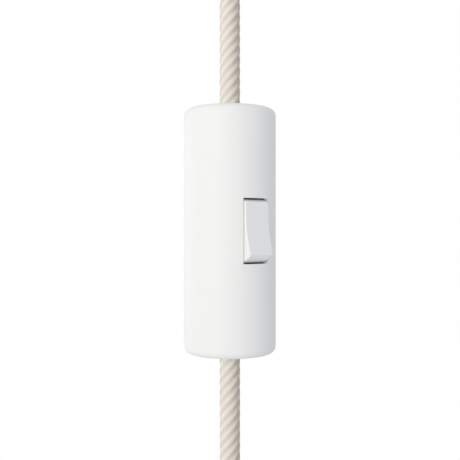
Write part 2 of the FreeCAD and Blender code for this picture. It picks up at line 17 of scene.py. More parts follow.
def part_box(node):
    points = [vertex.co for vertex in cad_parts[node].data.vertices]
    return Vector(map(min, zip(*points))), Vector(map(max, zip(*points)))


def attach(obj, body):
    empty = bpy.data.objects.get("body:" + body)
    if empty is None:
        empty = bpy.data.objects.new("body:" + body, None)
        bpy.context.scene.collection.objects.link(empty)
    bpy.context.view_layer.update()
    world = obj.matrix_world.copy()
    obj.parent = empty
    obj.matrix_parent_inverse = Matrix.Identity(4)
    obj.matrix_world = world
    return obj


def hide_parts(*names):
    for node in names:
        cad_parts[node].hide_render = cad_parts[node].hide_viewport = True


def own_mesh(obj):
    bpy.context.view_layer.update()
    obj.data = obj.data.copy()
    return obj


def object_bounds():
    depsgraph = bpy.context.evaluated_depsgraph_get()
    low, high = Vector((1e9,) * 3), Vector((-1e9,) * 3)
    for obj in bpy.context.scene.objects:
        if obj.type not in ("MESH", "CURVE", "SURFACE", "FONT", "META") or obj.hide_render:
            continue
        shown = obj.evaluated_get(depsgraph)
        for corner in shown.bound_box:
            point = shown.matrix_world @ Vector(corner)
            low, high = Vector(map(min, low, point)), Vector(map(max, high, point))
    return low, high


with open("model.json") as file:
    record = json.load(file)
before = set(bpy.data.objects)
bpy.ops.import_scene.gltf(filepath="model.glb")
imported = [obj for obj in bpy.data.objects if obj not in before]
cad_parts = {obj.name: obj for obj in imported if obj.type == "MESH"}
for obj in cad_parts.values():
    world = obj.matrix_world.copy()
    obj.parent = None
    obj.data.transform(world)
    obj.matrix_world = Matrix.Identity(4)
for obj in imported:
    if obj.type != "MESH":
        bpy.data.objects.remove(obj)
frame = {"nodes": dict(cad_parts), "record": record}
cad_box = [list(corner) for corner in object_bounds()]
solids = frame["nodes"]
MM = 0.001
print("solids:", len(solids))

# %% [markdown]
# ## Sizes that come from the frame
# Everything here is measured from the solids' boxes, so nothing has to be typed twice. The
# object's axis is the Z axis. The sleeve's box gives its middle and its two ends, where the lead
# leaves it, and each cord's box gives the two ends of the lead. The origin is the foot of the
# upper cord grip's thread, and the lower thread is its mirror image below the sleeve's middle.

# %% Read the main places
sleeve_low, sleeve_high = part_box("sleeve")
sleeve_middle = (sleeve_low.z + sleeve_high.z) / 2
object_low = cad_box[0][2]
lead_radius = (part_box("upper_cord")[1].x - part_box("upper_cord")[0].x) / 2
nipple_foot = {"upper": 0.0, "lower": 2 * sleeve_middle}
print("sleeve middle", round(sleeve_middle, 4), "lead radius", round(lead_radius, 5))

# %% [markdown]
# ## The camera
# The photograph was taken close to the object, level with its middle, and 35 degrees round from
# the side that the rocker faces. A camera in Blender looks along its own -Z axis, so it is turned
# with to_track_quat. The lens is given in millimetres for a sensor 36 mm wide.
# The distance matters as much as the lens: it decides how much of the cylinder's side shows.

# %% Place the camera
view_azimuth = -35.0
camera_distance = 256 * MM
camera_sidestep = 0.05 * MM
camera_above_middle = 0.35 * MM
camera_lens = 57.37


def around(azimuth, elevation, distance):
    """A point seen from the sleeve's middle. Azimuth 0 is on the rocker's side."""
    turn = math.radians(azimuth)
    rise = math.radians(elevation)
    level = distance * math.cos(rise)
    height = sleeve_middle + distance * math.sin(rise)
    return Vector((level * math.sin(turn), -level * math.cos(turn), height))


camera = bpy.data.objects.new("camera", bpy.data.cameras.new("camera"))
bpy.context.scene.collection.objects.link(camera)
camera.data.sensor_width = 36
camera.data.lens = camera_lens
camera.data.clip_start = 0.01
back = around(view_azimuth, 0, 1) - Vector((0, 0, sleeve_middle))
rightwards = Vector((-back.y, back.x, 0))
camera.location = around(view_azimuth, 0, camera_distance) + rightwards * camera_sidestep
camera.location.z += camera_above_middle
camera.rotation_euler = (-back).to_track_quat("-Z", "Y").to_euler()
bpy.context.scene.camera = camera
bpy.context.scene.view_settings.view_transform = "Standard"
print("camera at", [round(value, 4) for value in camera.location])

# %% [markdown]
# ## Small helpers for node trees
# Geometry Nodes and shaders are both node trees, and both are built in code the same way: make a
# node, set its options, then give each input a value or a link. The first helper does all three.
# The second adds a Math node, because a formula needs many of them.

# %% Helpers for node trees
def add_node(tree, kind, inputs=None, **options):
    """A new node with its options set and each named input given a value or linked to a socket."""
    made = tree.nodes.new(kind)
    for option, value in options.items():
        setattr(made, option, value)
    for key, value in (inputs or {}).items():
        if isinstance(value, bpy.types.NodeSocket):
            tree.links.new(value, made.inputs[key])
        else:
            made.inputs[key].default_value = value
    return made


def compute(tree, operation, first, second=0.0, third=0.0):
    """The output of a Math node on up to three values or sockets."""
    kind = "ShaderNodeMath"
    made = add_node(tree, kind, {0: first, 1: second, 2: third}, operation=operation)
    return made.outputs[0]


print("node helpers:", ", ".join(one.__name__ for one in (add_node, compute)))

# %% [markdown]
# ## The surrounding light
# The white cylinder itself says where the light was: it is brightest at its left edge, still
# bright at the front, and falls off quickly past the rocker. Fitting that curve gives an even
# surrounding light and two lamps. The surrounding light comes from the world and is faintly cool.
# The background is pure white only to the camera, in reflections and through glass. That is done
# with the Light Path node, so the white doesn't flood the object with light.

# %% Build the world
def seen_rays(tree):
    """1 for rays that show the background and 0 for rays that light the object."""
    rays = add_node(tree, "ShaderNodeLightPath").outputs
    seen = compute(tree, "MAXIMUM", rays["Is Camera Ray"], rays["Is Glossy Ray"])
    return compute(tree, "MAXIMUM", seen, rays["Is Transmission Ray"])


surround_level = (0.645, 0.656, 0.690, 1.0)
world = bpy.data.worlds.new("soft_surround")
world.use_nodes = True
bpy.context.scene.world = world
tree = world.node_tree
tree.nodes.clear()
soft = add_node(tree, "ShaderNodeBackground", {"Color": surround_level, "Strength": 1.0})
white = add_node(tree, "ShaderNodeBackground", {"Color": (1, 1, 1, 1), "Strength": 1.0})
both = add_node(tree, "ShaderNodeMixShader",
                {0: seen_rays(tree), 1: soft.outputs[0], 2: white.outputs[0]})
add_node(tree, "ShaderNodeOutputWorld", {"Surface": both.outputs[0]})
print(world.name, "level", surround_level[:3])

# %% [markdown]
# ## The lamps
# One large lamp stands 30 degrees to the camera's left, and a smaller one behind the object on the
# left. Both are faintly warm. A point of light would be simpler, but only a wide lamp gives the
# soft fall-off round the cylinder.
# The strands of the lead show stronger light from the upper left than the cylinder does. So the
# leads have a lamp of their own, by light linking: a lamp's receiver collection names what it
# lights, and its blocker collection what may shade it. Both hold the two leads alone.

# %% Place the lamps
def add_lamp(name, azimuth, elevation, distance, width, power, color=(1.0, 0.99, 0.88)):
    """A square soft lamp that faces the sleeve's middle."""
    lamp = bpy.data.objects.new(name, bpy.data.lights.new(name, "AREA"))
    bpy.context.scene.collection.objects.link(lamp)
    lamp.location = around(azimuth, elevation, distance)
    aim = Vector((0, 0, sleeve_middle)) - lamp.location
    lamp.rotation_euler = aim.to_track_quat("-Z", "Y").to_euler()
    lamp.data.size = width
    lamp.data.energy = power
    lamp.data.color = color
    print(name, "power", power, "W at", distance, "m")
    return lamp


add_lamp("key_lamp", view_azimuth - 30, elevation=0, distance=0.9, width=0.6, power=4.35)
add_lamp("back_lamp", view_azimuth - 125, elevation=0, distance=0.9, width=0.3, power=1.05)
lit_leads = bpy.data.collections.new("lit_leads")
lead_lamp = add_lamp("lead_lamp", view_azimuth - 46, elevation=32, distance=3.0, width=0.6,
                     power=48.0, color=(0.80, 0.87, 1.0))
lead_lamp.light_linking.receiver_collection = lit_leads
lead_lamp.light_linking.blocker_collection = lit_leads

# %% [markdown]
# ## The floor
# The switch hangs, so nothing touches the floor. It lies just under the lowest point and takes a
# soft shadow there. A disc is enough, because it has faded away long before its edge.

# %% Lay the floor
floor_drop = 4 * MM
floor_radius = 1.2
floor_sides = 96
bpy.ops.mesh.primitive_circle_add(
    vertices=floor_sides, radius=floor_radius, fill_type="NGON",
    location=(0, 0, object_low - floor_drop))
floor = bpy.context.object
floor.name = "pale_floor"
print("floor at height", round(floor.location.z, 4))

# %% [markdown]
# ## The floor's paper
# The key and back lamps are level with the object, so they barely light a floor. A little glow
# that no other surface receives lifts the paper to white and leaves the shadow in it. Further out
# the floor fades to the background, so that no horizon shows. Seen from under, it is clear.

# %% Make the floor's paper
shadow_radius = 0.06
fade_radius = 0.13
paper_tone = (0.86, 0.86, 0.86, 1)
paper_lift = 0.40
floor_finish = bpy.data.materials.new("pale_floor")
floor_finish.use_nodes = True
tree = floor_finish.node_tree
tree.nodes.clear()
place = add_node(tree, "ShaderNodeTexCoord").outputs["Object"]
out_from_middle = add_node(tree, "ShaderNodeVectorMath", {0: place}, operation="LENGTH").outputs[1]
fade = add_node(tree, "ShaderNodeMapRange", {
    "Value": out_from_middle, "From Min": shadow_radius, "From Max": fade_radius})
visible = seen_rays(tree)
whiten = compute(tree, "MULTIPLY", fade.outputs[0], visible)
paper = add_node(tree, "ShaderNodeBsdfDiffuse", {"Color": paper_tone})
lift = add_node(tree, "ShaderNodeEmission", {
    "Color": (1, 1, 1, 1), "Strength": compute(tree, "MULTIPLY", visible, paper_lift)})
lifted = add_node(tree, "ShaderNodeAddShader", {0: paper.outputs[0], 1: lift.outputs[0]})
glow = add_node(tree, "ShaderNodeEmission", {"Color": (1, 1, 1, 1), "Strength": 1.0})
mixed = add_node(tree, "ShaderNodeMixShader", {0: whiten, 1: lifted.outputs[0], 2: glow.outputs[0]})
under = add_node(tree, "ShaderNodeNewGeometry").outputs["Backfacing"]
clear = add_node(tree, "ShaderNodeBsdfTransparent")
sided = add_node(tree, "ShaderNodeMixShader", {0: under, 1: mixed.outputs[0], 2: clear.outputs[0]})
add_node(tree, "ShaderNodeOutputMaterial", {"Surface": sided.outputs[0]})
floor.data.materials.append(floor_finish)
print(floor_finish.name, "fades out at", fade_radius, "m")

# %% [markdown]
# ## How a Geometry Nodes tree is used here
# Three things are wound or swept: the lead's cover, a thread cutter and a spring. Each has a node
# group of its own, which is a tree with named sockets at both ends. Each tree ends in Realize
# Instances and Set Material, so that what comes out is a real mesh with its material.
# The shaders further down are node groups too, so one helper makes both kinds.

# %% Helpers for node groups
def scaled(tree, vector, factor):
    """A vector or a colour, multiplied by a number."""
    kind = "ShaderNodeVectorMath"
    return add_node(tree, kind, {0: vector, "Scale": factor}, operation="SCALE").outputs[0]


def new_group(name, kind, inputs, outputs):
    """A node group with its sockets, and the two nodes that stand for its inside ends."""
    group = bpy.data.node_groups.new(name, kind)
    for label, socket_kind, value in inputs:
        socket = group.interface.new_socket(label, in_out="INPUT", socket_type=socket_kind)
        if value is not None:
            socket.default_value = value
    for label, socket_kind in outputs:
        group.interface.new_socket(label, in_out="OUTPUT", socket_type=socket_kind)
    entry = group.nodes.new("NodeGroupInput")
    result = group.nodes.new("NodeGroupOutput")
    return group, entry.outputs, result.inputs


def end_tree(tree, geometry, material, output):
    """Ends a tree with Realize Instances and Set Material."""
    whole = add_node(tree, "GeometryNodeRealizeInstances", {0: geometry})
    dressed = add_node(tree, "GeometryNodeSetMaterial",
                       {"Geometry": whole.outputs[0], "Material": material})
    tree.links.new(dressed.outputs[0], output)
    print(tree.name, "nodes", len(tree.nodes))


print("group helpers:", ", ".join(one.__name__ for one in (scaled, new_group, end_tree)))

# %% [markdown]
# ## The twisted lead
# Three insulated cores and their filler lie under a cotton cover whose six strands wind round
# the lead once in 22.4 mm. A strand rises to the right, like the thread of an ordinary screw.
# Both the strands and the weave of their yarn are waves on a cylinder, so a few formulas give
# them. Which strand a point lies on is one line of maths:
# phase = strands * (angle / 2 pi - height / pitch).
# The helpers work in a mesh's tree and in a shader's, so both get the same pattern.

# %% Formulas for the strands and the yarn
strand_count = 6
strand_pitch = 22.4 * MM
yarns_round = 30
yarn_height = 0.75 * MM
sway_scale = 900.0
sway_bend = 2.4


def strand_phase(tree, position, strands, pitch):
    """Which strand a point lies on: whole numbers are grooves and the halves are crests."""
    parts = add_node(tree, "ShaderNodeSeparateXYZ", {0: position}).outputs
    turn = compute(tree, "DIVIDE", compute(tree, "ARCTAN2", parts["Y"], parts["X"]), math.tau)
    climb = compute(tree, "DIVIDE", parts["Z"], pitch)
    return compute(tree, "MULTIPLY", compute(tree, "SUBTRACT", turn, climb), strands)


def groove_share(tree, phase):
    """A soft wave from 0 on a strand's crest to 1 in the groove beside it."""
    wave = compute(tree, "COSINE", compute(tree, "MULTIPLY", phase, math.tau))
    return compute(tree, "MULTIPLY_ADD", wave, 0.5, 0.5)


def yarn_weave(tree, position, yarns, height):
    """The weave of the cover, from 0 in a pore between yarns to 1 on top of one."""
    parts = add_node(tree, "ShaderNodeSeparateXYZ", {0: position}).outputs
    sway = add_node(tree, "ShaderNodeTexNoise",
                    {"Vector": position, "Scale": sway_scale, "Detail": 1.0})
    bend = compute(tree, "MULTIPLY", compute(tree, "SUBTRACT", sway.outputs[0], 0.5), sway_bend)
    angle = compute(tree, "ARCTAN2", parts["Y"], parts["X"])
    round_wave = compute(tree, "SINE", compute(tree, "MULTIPLY_ADD", angle, yarns, bend))
    rise = compute(tree, "DIVIDE", compute(tree, "MULTIPLY", parts["Z"], math.tau), height)
    rise_wave = compute(tree, "SINE", compute(tree, "ADD", rise, bend))
    return compute(tree, "MULTIPLY_ADD", compute(tree, "MULTIPLY", round_wave, rise_wave), 0.5, 0.5)


print(strand_count, "strands, one turn in", round(strand_pitch / MM, 1), "mm")

# %% [markdown]
# ## Sweeping the cover
# Sculpting the twist by hand would be slow, and a texture alone leaves the outline straight. So a
# Geometry Nodes tree sweeps a fine circle along the lead's line and then pushes each point in.
# Most of the push is a soft wave, from nothing on a strand's crest to 0.2 mm in the groove beside
# it. The rest is the weave of the yarn, 0.06 mm deep.

# %% Geometry Nodes tree for a twisted cover
strand_groove = 0.20 * MM
yarn_relief = 0.06 * MM
twist, entry, result = new_group("twisted_cover", "GeometryNodeTree", [
    ("Line", "NodeSocketGeometry", None),
    ("Radius", "NodeSocketFloat", 0.0036),
    ("Strands", "NodeSocketFloat", 6.0),
    ("Pitch", "NodeSocketFloat", 0.0224),
    ("Groove", "NodeSocketFloat", 0.0002),
    ("Yarns Round", "NodeSocketFloat", 30.0),
    ("Yarn Height", "NodeSocketFloat", 0.00075),
    ("Yarn Relief", "NodeSocketFloat", 0.00006),
    ("Sides", "NodeSocketInt", 180),
    ("Step", "NodeSocketFloat", 0.0001875),
    ("Cotton", "NodeSocketMaterial", None),
], [("Cover", "NodeSocketGeometry")])
line = add_node(twist, "GeometryNodeResampleCurve",
                {"Curve": entry["Line"], "Length": entry["Step"]}, mode="LENGTH")
ring = add_node(twist, "GeometryNodeCurvePrimitiveCircle",
                {"Resolution": entry["Sides"], "Radius": entry["Radius"]}, mode="RADIUS")
tube = add_node(twist, "GeometryNodeCurveToMesh", {
    "Curve": line.outputs[0], "Profile Curve": ring.outputs[0], "Fill Caps": True})
position = add_node(twist, "GeometryNodeInputPosition").outputs[0]
phase = strand_phase(twist, position, entry["Strands"], entry["Pitch"])
weave = yarn_weave(twist, position, entry["Yarns Round"], entry["Yarn Height"])
pores = compute(twist, "MULTIPLY", compute(twist, "SUBTRACT", 1.0, weave), entry["Yarn Relief"])
depth = compute(twist, "MULTIPLY_ADD", groove_share(twist, phase), entry["Groove"], pores)
inward = add_node(twist, "ShaderNodeVectorMath", {0: position, 1: (-1.0, -1.0, 0.0)},
                  operation="MULTIPLY").outputs[0]
inward = add_node(twist, "ShaderNodeVectorMath", {0: inward}, operation="NORMALIZE").outputs[0]
shaped = add_node(twist, "GeometryNodeSetPosition",
                  {"Geometry": tube.outputs[0], "Offset": scaled(twist, inward, depth)})
smooth = add_node(twist, "GeometryNodeSetShadeSmooth", {0: shaped.outputs[0]})
end_tree(twist, smooth.outputs[0], entry["Cotton"], result["Cover"])

# %% [markdown]
# ## The line of a lead
# Each lead is straight, because the object's weight pulls it tight. Its line is a NURBS spline
# with a few points. A mesh edge would do for a straight line, but a curve can be swept as it is.
# A second helper reads the line back as points.

# %% Helpers for the lead's line
line_steps = 4


def lead_line(name, start, end):
    """A straight NURBS spline on the object's axis."""
    data = bpy.data.curves.new(name, "CURVE")
    data.dimensions = "3D"
    spline = data.splines.new("NURBS")
    spline.points.add(line_steps)
    for index, point in enumerate(spline.points):
        point.co = (0, 0, start + (end - start) * index / line_steps, 1)
    spline.order_u = 3
    spline.use_endpoint_u = True
    made = bpy.data.objects.new(name, data)
    bpy.context.scene.collection.objects.link(made)
    return made


def line_points(line):
    """The points that Blender itself gives for a curve with no thickness."""
    view = bpy.context.evaluated_depsgraph_get()
    wire = bpy.data.meshes.new_from_object(line.evaluated_get(view))
    return [vertex.co.copy() for vertex in wire.vertices]


print("line helpers:", ", ".join(one.__name__ for one in (lead_line, line_points)))

# %% [markdown]
# ## From a tree to a plain mesh
# A modifier has to be baked before the piece is handed to the frame. new_from_object on the
# evaluated object gives exactly what is on the screen, as a mesh. The inputs of a Geometry Nodes
# modifier are set by their identifier, which the group's interface lists, and not by their name.

# %% Helpers that bake a mesh
def baked(source, name):
    """A plain mesh object at the origin from an object and its modifiers, which it replaces."""
    view = bpy.context.evaluated_depsgraph_get()
    mesh = bpy.data.meshes.new_from_object(source.evaluated_get(view))
    made = bpy.data.objects.new(name, mesh)
    bpy.context.scene.collection.objects.link(made)
    bpy.data.objects.remove(source)
    return made


def grown(source, group, name, values):
    """The plain mesh that a Geometry Nodes tree makes from an object, with inputs set by name."""
    modifier = source.modifiers.new(group.name, "NODES")
    modifier.node_group = group
    for item in group.interface.items_tree:
        if item.item_type == "SOCKET" and item.in_out == "INPUT" and item.name in values:
            modifier[item.identifier] = values[item.name]
    return baked(source, name)


print("bake helpers:", ", ".join(one.__name__ for one in (baked, grown)))

# %% [markdown]
# ## The two leads
# A lead runs from where its sheath is stripped inside the sleeve to the far end of its cord grip.
# The two could be mirror images, but then the twist of one would be left-handed. So each is swept
# along its own line, and the strands climb the same way on both.

# %% Sweep the leads
cotton = bpy.data.materials.new("twisted_cotton")
for end in ("upper", "lower"):
    low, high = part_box(end + "_cord")
    inner_z, outer_z = (low.z, high.z) if end == "upper" else (high.z, low.z)
    line = lead_line(end + "_line", inner_z, outer_z)
    route = line_points(line)
    cover = grown(line, twist, end + "_lead", {
        "Radius": lead_radius, "Strands": float(strand_count), "Pitch": strand_pitch,
        "Groove": strand_groove, "Yarns Round": float(yarns_round), "Yarn Height": yarn_height,
        "Yarn Relief": yarn_relief, "Cotton": cotton})
    lit_leads.objects.link(cover)
    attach(cover, "housing")
    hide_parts(end + "_cord")

# %% [markdown]
# ## A thread cutter
# The nipple of a cord grip has a fine male thread, ten millimetres across with a pitch of one.
# On a lathe a pointed tool cuts it as a helix, and the same is done here. Geometry Nodes winds a
# bar with a diamond section round the nipple. Its inner half reaches in by the thread's depth. It
# is a shade narrower than the pitch, so that a thin flat crest stays between two turns.

# %% Geometry Nodes tree for a thread cutter
thread_pitch = 1.0 * MM
thread_depth = 0.55 * MM
nipple_radius = 5.0 * MM
nipple_reach = 8.0 * MM
tooth_share = 0.46


def helix(tree, sides, turns, radius, height):
    """An upright helix that starts at the origin's height."""
    return add_node(tree, "GeometryNodeCurveSpiral", {
        "Resolution": sides, "Rotations": turns, "Start Radius": radius, "End Radius": radius,
        "Height": height, "Reverse": False}).outputs[0]


cutter_tree, entry, result = new_group("thread_cutter", "GeometryNodeTree", [
    ("Blank", "NodeSocketGeometry", None),
    ("Radius", "NodeSocketFloat", 0.005),
    ("Depth", "NodeSocketFloat", 0.0005),
    ("Pitch", "NodeSocketFloat", 0.001),
    ("Length", "NodeSocketFloat", 0.008),
    ("Start", "NodeSocketFloat", 0.0),
    ("Sides", "NodeSocketInt", 72),
    ("Finish", "NodeSocketMaterial", None),
], [("Cutter", "NodeSocketGeometry")])
turns = compute(cutter_tree, "DIVIDE", entry["Length"], entry["Pitch"])
wound = helix(cutter_tree, entry["Sides"], turns, entry["Radius"], entry["Length"])
upright = add_node(cutter_tree, "GeometryNodeSetCurveNormal", {"Curve": wound}, mode="Z_UP")
half_tooth = compute(cutter_tree, "MULTIPLY", entry["Pitch"], tooth_share)
tooth = add_node(cutter_tree, "GeometryNodeCurvePrimitiveQuadrilateral", {
    "Width": compute(cutter_tree, "MULTIPLY", entry["Depth"], 2.0),
    "Bottom Height": half_tooth, "Top Height": half_tooth}, mode="KITE")
bar = add_node(cutter_tree, "GeometryNodeCurveToMesh", {
    "Curve": upright.outputs[0], "Profile Curve": tooth.outputs[0], "Fill Caps": True})
lift = add_node(cutter_tree, "ShaderNodeCombineXYZ", {"Z": entry["Start"]})
raised = add_node(cutter_tree, "GeometryNodeSetPosition",
                  {"Geometry": bar.outputs[0], "Offset": lift.outputs[0]})
end_tree(cutter_tree, raised.outputs[0], entry["Finish"], result["Cutter"])

# %% [markdown]
# ## A copy that can be cut
# A solid's own mesh stays as it is, so the thread is cut into a copy. The copy is merged first,
# because a solid's mesh is made of loose triangles, and a Boolean needs a closed surface.
# Smooth shading over the thin flanks of a thread would smear them, so a second helper keeps
# every sharp crease. The cutter grows from nothing, so a third makes an empty object to carry it.

# %% Helpers for cutting
merge_distance = 0.001 * MM


def merged_copy(name, new_name):
    """A copy of a solid's mesh with its loose triangles joined."""
    made = bpy.data.objects.new(new_name, solids[name].data.copy())
    bpy.context.scene.collection.objects.link(made)
    weld = made.modifiers.new("weld", "WELD")
    weld.merge_threshold = merge_distance
    return baked(made, new_name)


def keep_edges_crisp(mesh, angle):
    """Shades a mesh smooth, but sharp where two faces meet at more than an angle."""
    if "custom_normal" in mesh.attributes:
        mesh.attributes.remove(mesh.attributes["custom_normal"])
    mesh.shade_smooth()
    mesh.set_sharp_from_angle(angle=math.radians(angle))


def blank_object():
    """An empty mesh object, for a tree that needs nothing to start from."""
    made = bpy.data.objects.new("blank", bpy.data.meshes.new("blank"))
    bpy.context.scene.collection.objects.link(made)
    return made


print("cutting helpers:",
      ", ".join(one.__name__ for one in (merged_copy, keep_edges_crisp, blank_object)))

# %% [markdown]
# ## Cutting the threads
# A Boolean takes the cutter away from the copy of each grip. The cutter starts one pitch above the
# shoulder, as a real tool needs room to run out there, and leaves past the end of the nipple.
# A bump texture could hint at a thread too, but only real geometry gives its outline. Every crease
# of more than 30 degrees stays sharp.

# %% Cut the threads
grip_white = bpy.data.materials.new("turned_grip_white")
crease_angle = 30
for end in ("upper", "lower"):
    grip = merged_copy(end + "_cord_grip", end + "_threaded_grip")
    past_foot = thread_pitch if end == "upper" else -nipple_reach - 2 * thread_pitch
    cutter = grown(blank_object(), cutter_tree, end + "_cutter", {
        "Radius": nipple_radius, "Depth": thread_depth, "Pitch": thread_pitch,
        "Length": nipple_reach + thread_pitch, "Start": nipple_foot[end] + past_foot,
        "Finish": grip_white})
    grip.data.materials.clear()
    grip.data.materials.append(grip_white)
    cut = grip.modifiers.new("cut", "BOOLEAN")
    cut.operation = "DIFFERENCE"
    cut.solver = "EXACT"
    cut.object = cutter
    grip = baked(grip, end + "_threaded_grip")
    keep_edges_crisp(grip.data, crease_angle)
    bpy.data.objects.remove(cutter)
    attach(grip, "housing")
    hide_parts(end + "_cord_grip")
    print(grip.name, "faces", len(grip.data.polygons))

# %% [markdown]
# ## The plunger's spring
# A small compression spring sits in the rocker's stem and presses the plunger on the contact
# bridge. It is wound from round wire, so Geometry Nodes sweeps a circle along a helix. The new coil
# replaces the solid and moves with the rocker. Like the solid, it keeps its full height when the
# plunger moves in.

# %% Geometry Nodes tree for wound wire
wire_tree, entry, result = new_group("wound_wire", "GeometryNodeTree", [
    ("Blank", "NodeSocketGeometry", None),
    ("Radius", "NodeSocketFloat", 0.001),
    ("Wire", "NodeSocketFloat", 0.0003),
    ("Height", "NodeSocketFloat", 0.003),
    ("Turns", "NodeSocketFloat", 5.0),
    ("Sides", "NodeSocketInt", 36),
    ("Wire Sides", "NodeSocketInt", 12),
    ("Steel", "NodeSocketMaterial", None),
], [("Coil", "NodeSocketGeometry")])
rise = compute(wire_tree, "SUBTRACT", entry["Height"], entry["Wire"])
wound = helix(wire_tree, entry["Sides"], entry["Turns"], entry["Radius"], rise)
section = add_node(wire_tree, "GeometryNodeCurvePrimitiveCircle", {
    "Resolution": entry["Wire Sides"],
    "Radius": compute(wire_tree, "MULTIPLY", entry["Wire"], 0.5)}, mode="RADIUS")
wire = add_node(wire_tree, "GeometryNodeCurveToMesh", {
    "Curve": wound, "Profile Curve": section.outputs[0], "Fill Caps": True})
half_down = add_node(wire_tree, "ShaderNodeCombineXYZ",
                     {"Z": compute(wire_tree, "MULTIPLY", rise, -0.5)})
centred = add_node(wire_tree, "GeometryNodeSetPosition",
                   {"Geometry": wire.outputs[0], "Offset": half_down.outputs[0]})
smooth = add_node(wire_tree, "GeometryNodeSetShadeSmooth", {0: centred.outputs[0]})
end_tree(wire_tree, smooth.outputs[0], entry["Steel"], result["Coil"])

# %% [markdown]
# ## Placing the spring
# The spring's axis is the direction of the plunger's joint. The solid's points, measured along
# that axis, give its two ends, so the coil needs no typed place. It is built upright round the
# origin and then turned and moved in its mesh, which leaves the object itself at the origin.

# %% Wind the spring
spring_wire = 0.3 * MM
spring_turns = 5.0
spring_steel = bpy.data.materials.new("spring_steel")
slide = next(joint for joint in frame["record"]["behaviour"]["joints"]
             if joint["name"] == "plunger_slide")
slide_axis = Vector(slide["axis"]).normalized()
heights = [vertex.co.dot(slide_axis) for vertex in solids["plunger_spring"].data.vertices]
spring_height = max(heights) - min(heights)
spring_low, spring_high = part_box("plunger_spring")
spring_middle = (spring_low + spring_high) / 2
spring_middle += slide_axis * ((max(heights) + min(heights)) / 2 - spring_middle.dot(slide_axis))
coil = grown(blank_object(), wire_tree, "plunger_coil", {
    "Radius": (spring_high.x - spring_low.x - spring_wire) / 2, "Wire": spring_wire,
    "Height": spring_height, "Turns": spring_turns, "Steel": spring_steel})
upright_to_axis = slide_axis.to_track_quat("Z", "Y").to_matrix().to_4x4()
coil.data.transform(Matrix.Translation(spring_middle) @ upright_to_axis)
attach(coil, "rocker")
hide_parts("plunger_spring")
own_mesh(coil)
print(coil.name, "height", round(spring_height, 5), "faces", len(coil.data.polygons))

# %% [markdown]
# ## The leads are taut
# A lead is soft goods, and a mesh alone doesn't say so. The lead is taut, so it isn't draped.

# %% [markdown]
# ## A moulded surface
# Some effects are shared by many materials, so each is built once as a node group with named
# inputs. A group puts out only what changes over the surface: a colour, a roughness or a height.
# The Principled BSDF itself stays in each material, with its constant values on its own sockets.
# All patterns read Object coordinates, in metres, so a grain has its real size on every piece.
# Moulded plastic has a fine grain from the mould and, much larger, faint clouds of tone.

# %% A moulded or painted surface
cloud_scale = 90.0
moulded, entry, result = new_group("moulded_surface", "ShaderNodeTree", [
    ("Color", "NodeSocketColor", (0.8, 0.8, 0.8, 1)),
    ("Grain Size", "NodeSocketFloat", 0.0003),
    ("Tone Change", "NodeSocketFloat", 0.02),
    ("Roughness", "NodeSocketFloat", 0.5),
    ("Roughness Change", "NodeSocketFloat", 0.08),
], [("Color", "NodeSocketColor"), ("Roughness", "NodeSocketFloat"), ("Height", "NodeSocketFloat")])
place = add_node(moulded, "ShaderNodeTexCoord").outputs["Object"]
grain = add_node(moulded, "ShaderNodeTexNoise", {
    "Vector": place, "Scale": compute(moulded, "DIVIDE", 1.0, entry["Grain Size"]),
    "Detail": 3.0, "Roughness": 0.6}).outputs[0]
cloud = add_node(moulded, "ShaderNodeTexNoise", {
    "Vector": place, "Scale": cloud_scale, "Detail": 2.0, "Roughness": 0.5}).outputs[0]
change = compute(moulded, "MULTIPLY", compute(moulded, "SUBTRACT", cloud, 0.5),
                 entry["Tone Change"])
tone = compute(moulded, "ADD", 1.0, change)
spread = compute(moulded, "MULTIPLY", compute(moulded, "SUBTRACT", grain, 0.5),
                 entry["Roughness Change"])
moulded.links.new(scaled(moulded, entry["Color"], tone), result["Color"])
moulded.links.new(compute(moulded, "ADD", entry["Roughness"], spread), result["Roughness"])
moulded.links.new(grain, result["Height"])
print(moulded.name, "nodes", len(moulded.nodes))

# %% [markdown]
# ## Drawn and stamped metal
# Brass strip, zinc plated screws and spring wire carry fine streaks along the direction in which
# they were rolled or drawn. A noise that is stretched along one axis gives them. The same streaks
# change the colour a little, the roughness more, and the height least.

# %% A metal surface with fine streaks
patch_scale = 400.0
patch_share = 0.7
pattern_middle = 0.85
drawn, entry, result = new_group("drawn_metal", "ShaderNodeTree", [
    ("Color", "NodeSocketColor", (0.8, 0.8, 0.8, 1)),
    ("Stretch", "NodeSocketVector", (1.0, 1.0, 0.06)),
    ("Streak Size", "NodeSocketFloat", 0.0002),
    ("Tone Change", "NodeSocketFloat", 0.15),
    ("Roughness", "NodeSocketFloat", 0.3),
    ("Roughness Change", "NodeSocketFloat", 0.15),
], [("Color", "NodeSocketColor"), ("Roughness", "NodeSocketFloat"), ("Height", "NodeSocketFloat")])
place = add_node(drawn, "ShaderNodeTexCoord").outputs["Object"]
pulled = add_node(drawn, "ShaderNodeVectorMath", {0: place, 1: entry["Stretch"]},
                  operation="MULTIPLY").outputs[0]
streak = add_node(drawn, "ShaderNodeTexNoise", {
    "Vector": pulled, "Scale": compute(drawn, "DIVIDE", 1.0, entry["Streak Size"]),
    "Detail": 4.0, "Roughness": 0.6}).outputs[0]
patch = add_node(drawn, "ShaderNodeTexNoise",
                 {"Vector": place, "Scale": patch_scale, "Detail": 2.0}).outputs[0]
both = compute(drawn, "ADD", streak, compute(drawn, "MULTIPLY", patch, patch_share))
centred = compute(drawn, "SUBTRACT", both, pattern_middle)
tone = compute(drawn, "MULTIPLY_ADD", centred, entry["Tone Change"], 1.0)
drawn.links.new(scaled(drawn, entry["Color"], tone), result["Color"])
